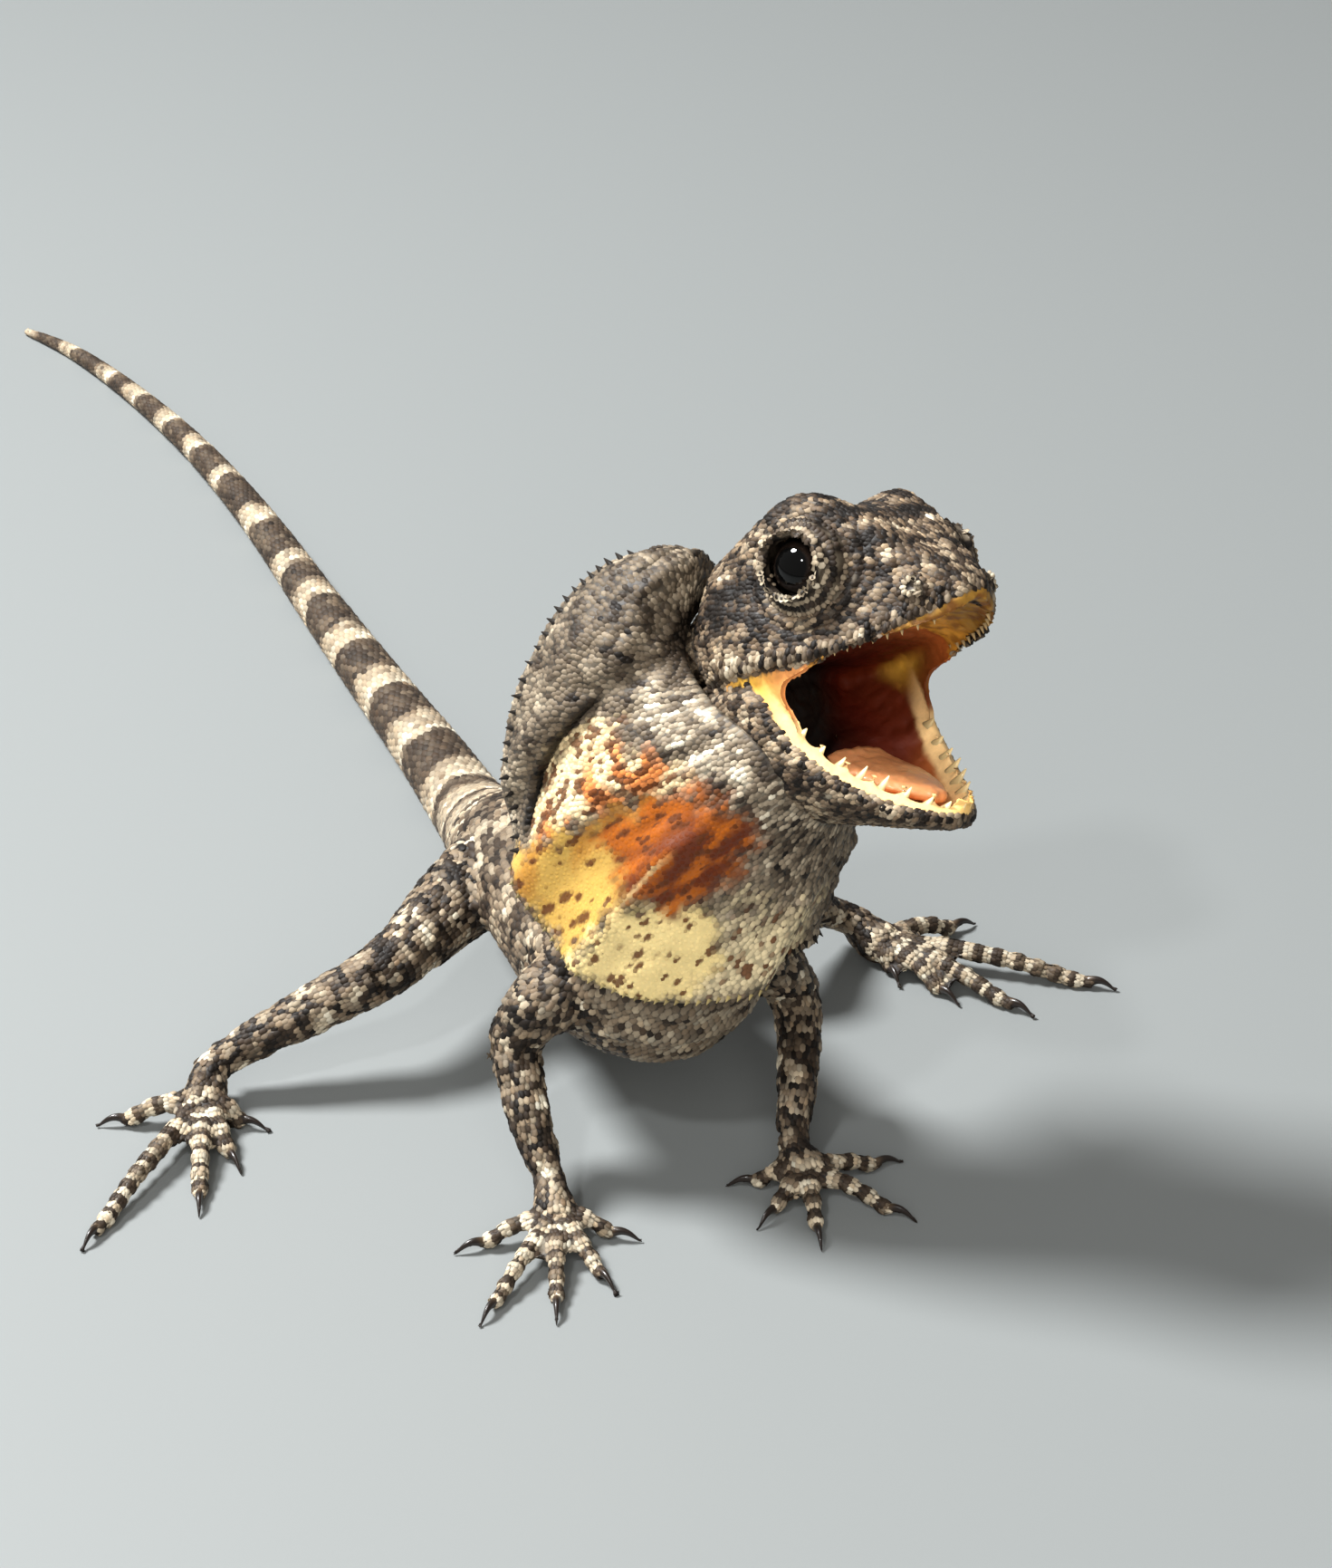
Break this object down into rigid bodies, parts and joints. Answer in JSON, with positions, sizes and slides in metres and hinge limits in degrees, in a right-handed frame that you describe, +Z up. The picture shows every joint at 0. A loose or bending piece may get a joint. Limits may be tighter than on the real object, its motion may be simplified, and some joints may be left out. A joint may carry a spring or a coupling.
{
  "type": "frilled lizard",
  "caption": "Hatchling frilled lizard standing on four feet with its head turned and raised, mouth wide open and scaly neck frill half spread, long tail laid out behind.",
  "frame": {"origin": "on the floor under the middle of the whole animal's box, tail included", "axes": "-Y is the way that the body faces, +Y is towards the tail's tip, +X is the animal's left, +Z is up"},
  "size_m": [0.0576, 0.1183, 0.0369],
  "materials": {
    "skin": "dry scaly skin, matte",
    "frill_skin": "thin scaly skin, orange and yellow with brown spots",
    "mouth_skin": "scaly outside, moist yellow and pink lining inside",
    "tongue_skin": "moist",
    "eye_dark": "wet gloss"
  },
  "bodies": {
    "root": {"eye_left": "eye_dark", "eye_right": "eye_dark", "foot_left": "skin", "foot_right": "skin", "forearm_left": "skin", "forearm_right": "skin", "frill_left": "frill_skin", "frill_right": "frill_skin", "frill_throat": "frill_skin", "hand_left": "skin", "hand_right": "skin", "head": "skin", "jaw": "mouth_skin", "neck": "skin", "shin_left": "skin", "shin_right": "skin", "tail_1": "skin", "tail_2": "skin", "tail_3": "skin", "tail_4": "skin", "thigh_left": "skin", "thigh_right": "skin", "tongue": "tongue_skin", "torso": "skin", "upper_arm_left": "skin", "upper_arm_right": "skin"}
  },
  "joints": []
}
